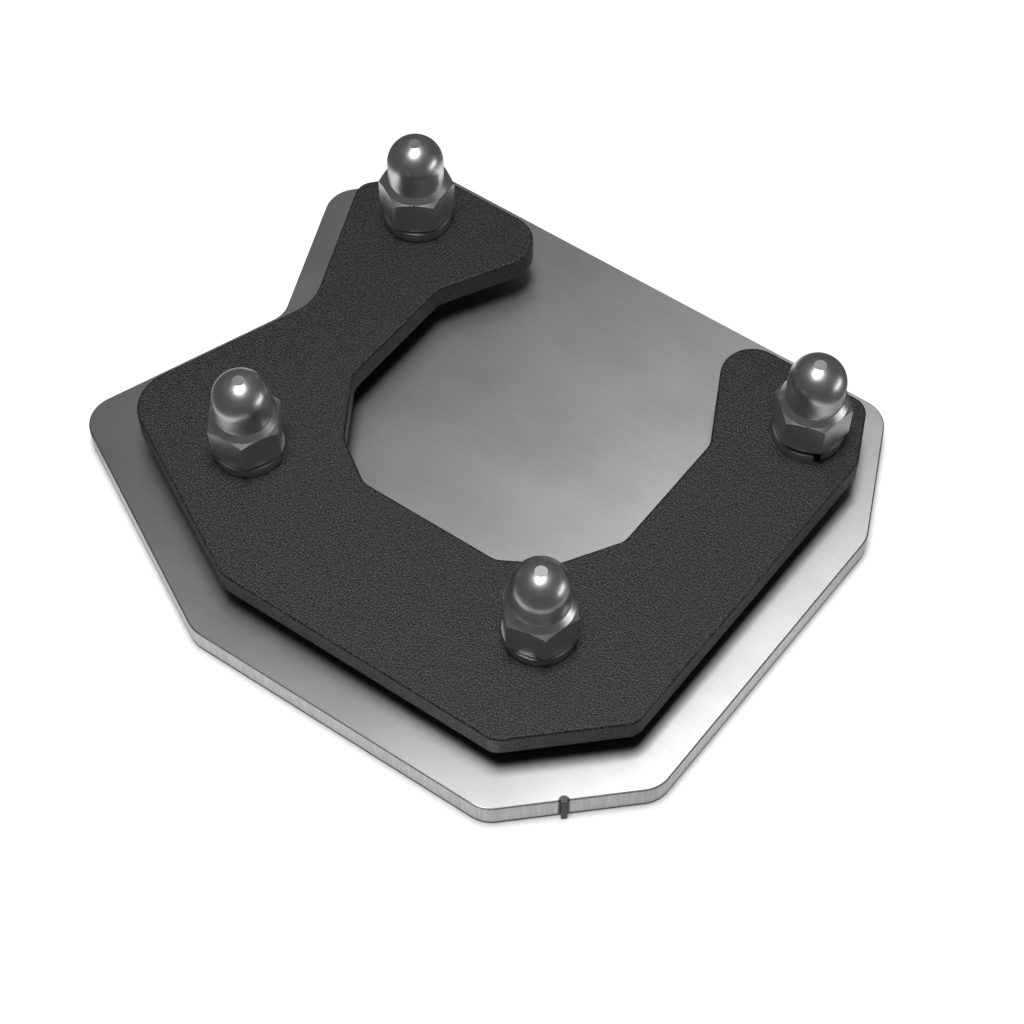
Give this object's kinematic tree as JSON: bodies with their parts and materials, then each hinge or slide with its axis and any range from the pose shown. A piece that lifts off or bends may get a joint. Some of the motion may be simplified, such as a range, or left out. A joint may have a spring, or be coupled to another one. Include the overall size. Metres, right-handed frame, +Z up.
{
  "type": "kickstand foot enlarger",
  "caption": "Wide ground plate with a C-shaped clamp plate held above it on sleeves, screws and domed cap nuts, so that a motorcycle stand's foot slides in between and bears on a larger area.",
  "frame": {"origin": "middle of the base plate's box, on its underside, which stands on the ground", "axes": "+Z up; +X towards the right screws, with the clamp plate's open side facing +Y"},
  "size_m": [0.108, 0.0888, 0.03],
  "materials": {
    "brushed_plate": "brushed, with fine scratches",
    "black_coat": "fine-grained satin black coat",
    "bright_nut": "polished",
    "washer_steel": "plain turned",
    "screw_steel": "plain",
    "sleeve_steel": "turned"
  },
  "bodies": {
    "root": {"base_plate": "brushed_plate", "clamp_plate": "black_coat", "cap_nut_1": "bright_nut", "cap_nut_2": "bright_nut", "cap_nut_3": "bright_nut", "cap_nut_4": "bright_nut", "spring_washer_1": "washer_steel", "spring_washer_2": "washer_steel", "spring_washer_3": "washer_steel", "spring_washer_4": "washer_steel", "countersunk_screw_1": "screw_steel", "countersunk_screw_2": "screw_steel", "countersunk_screw_3": "screw_steel", "countersunk_screw_4": "screw_steel", "spacer_sleeve_1": "sleeve_steel", "spacer_sleeve_2": "sleeve_steel", "spacer_sleeve_3": "sleeve_steel", "spacer_sleeve_4": "sleeve_steel"}
  },
  "joints": []
}
